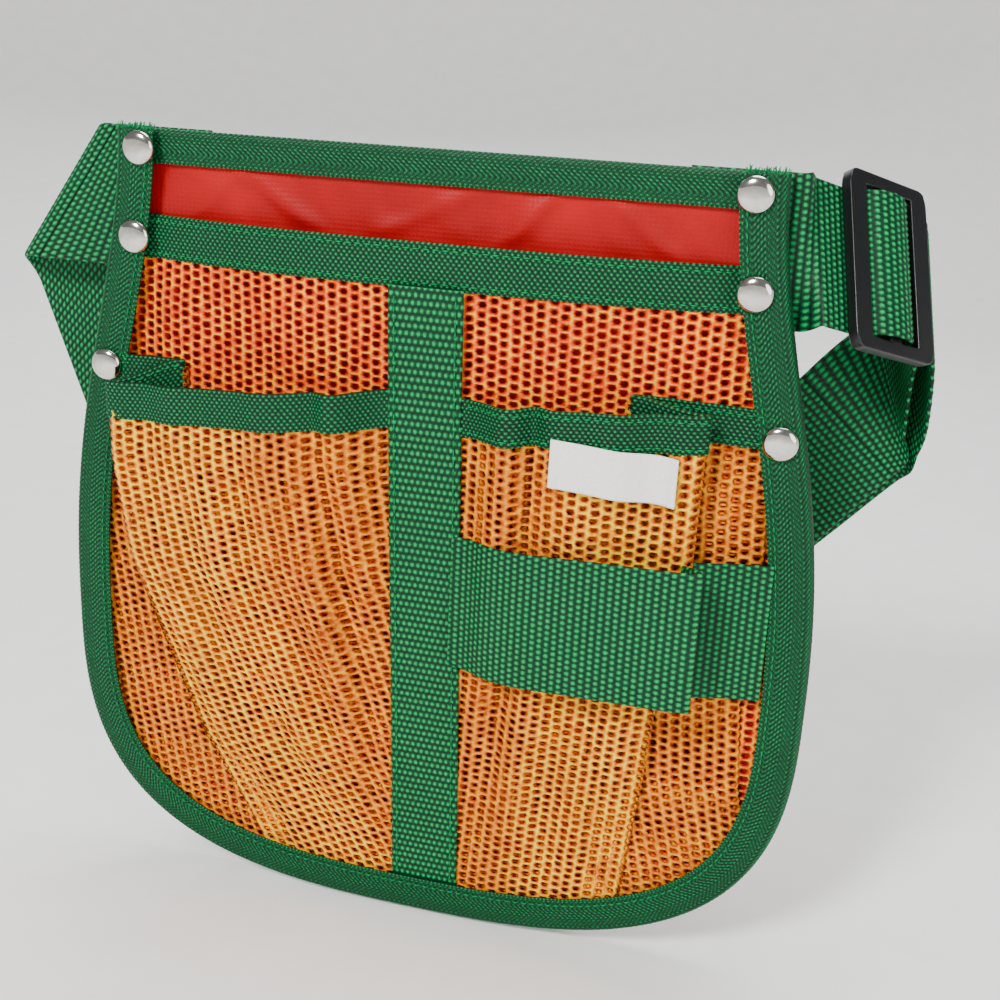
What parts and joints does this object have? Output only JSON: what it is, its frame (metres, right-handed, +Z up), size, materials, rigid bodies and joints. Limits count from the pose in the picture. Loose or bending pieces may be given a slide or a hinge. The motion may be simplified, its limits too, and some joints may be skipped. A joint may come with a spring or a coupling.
{
  "type": "toy tool belt",
  "caption": "Child's tool belt: net-fronted pouch with pleated pockets and a webbing tool loop on a waist belt with slider and side-release buckle.",
  "frame": {"origin": "on the flat rear face of the back panel, centred across the pouch, at the height of the belt's centre line", "axes": "+X to the right seen from the front, +Y to the rear towards the wearer, +Z up"},
  "size_m": [0.2558, 0.0801, 0.2221],
  "materials": {
    "red_nylon": "plain-woven coated nylon, soft sheen",
    "orange_net": "knitted nylon net, honeycomb holes",
    "yellow_net": "knitted nylon net, honeycomb holes",
    "green_tape": "herringbone-woven polypropylene tape",
    "green_webbing": "ribbed polypropylene webbing",
    "nickel_plate": "bright nickel plate",
    "black_plastic": "moulded acetal, semi-gloss",
    "woven_label": "damask-woven satin label, left blank"
  },
  "bodies": {
    "pouch": {"back_panel": "red_nylon", "big_pocket_net": "orange_net", "left_pocket_net": "yellow_net", "right_pocket_net": "yellow_net", "upper_pocket_tape": "green_tape", "left_pocket_tape": "green_tape", "right_pocket_tape": "green_tape", "tool_loop": "green_webbing", "center_strap": "green_webbing", "side_binding": "green_tape", "top_binding": "green_tape", "blank_label": "woven_label", "left_belt_stub": "green_webbing", "left_belt_fold": "green_webbing", "right_belt_stub": "green_webbing", "right_belt_curl": "green_webbing", "return_layer_start": "green_webbing", "return_layer_curl": "green_webbing", "rivet_cap_1": "nickel_plate", "rivet_cap_2": "nickel_plate", "rivet_cap_3": "nickel_plate", "rivet_cap_4": "nickel_plate", "rivet_cap_5": "nickel_plate", "rivet_cap_6": "nickel_plate", "rivet_base_1": "nickel_plate", "rivet_base_2": "nickel_plate", "rivet_base_3": "nickel_plate", "rivet_base_4": "nickel_plate", "rivet_base_5": "nickel_plate", "rivet_base_6": "nickel_plate"},
    "slider": {"slider": "black_plastic", "slider_wrap": "green_webbing"},
    "left_tail": {"left_belt_tail": "green_webbing", "buckle_socket": "black_plastic", "socket_wrap": "green_webbing"},
    "right_tail": {"right_belt_tail": "green_webbing", "return_layer_tail": "green_webbing", "buckle_plug": "black_plastic", "plug_wrap": "green_webbing"},
    "upper_prong": {"upper_prong": "black_plastic"},
    "lower_prong": {"lower_prong": "black_plastic"}
  },
  "joints": [
    {"name": "slider_slide", "type": "slide", "parent": "pouch", "child": "slider", "axis": [0.6651, 0.7001, -0.26], "range_m": [-0.004, 0]},
    {"name": "left_tail_fold", "type": "hinge", "parent": "pouch", "child": "left_tail", "pos_m": [-0.10458, 0.00875, 0], "axis": [0.5736, 0, 0.8192], "range_deg": [0, 170], "deforming": ["left_belt_fold"]},
    {"name": "right_tail_fold", "type": "hinge", "parent": "pouch", "child": "right_tail", "pos_m": [0.10958, 0.0465, -0.054], "axis": [0.7273, 0.0764, -0.682], "range_deg": [0, 100], "deforming": ["right_belt_curl", "return_layer_curl"]},
    {"name": "upper_prong_squeeze", "type": "hinge", "parent": "right_tail", "child": "upper_prong", "pos_m": [0.00774, 0.03499, -0.14411], "axis": [0.1045, -0.9945, 0], "range_deg": [0, 7], "stiffness_Nm_per_rad": 0.005, "springref_deg": -2.86},
    {"name": "lower_prong_squeeze", "type": "hinge", "parent": "right_tail", "child": "lower_prong", "pos_m": [0.02738, 0.03705, -0.16253], "axis": [-0.1045, 0.9945, 0], "range_deg": [0, 7], "stiffness_Nm_per_rad": 0.005, "springref_deg": -2.86}
  ]
}
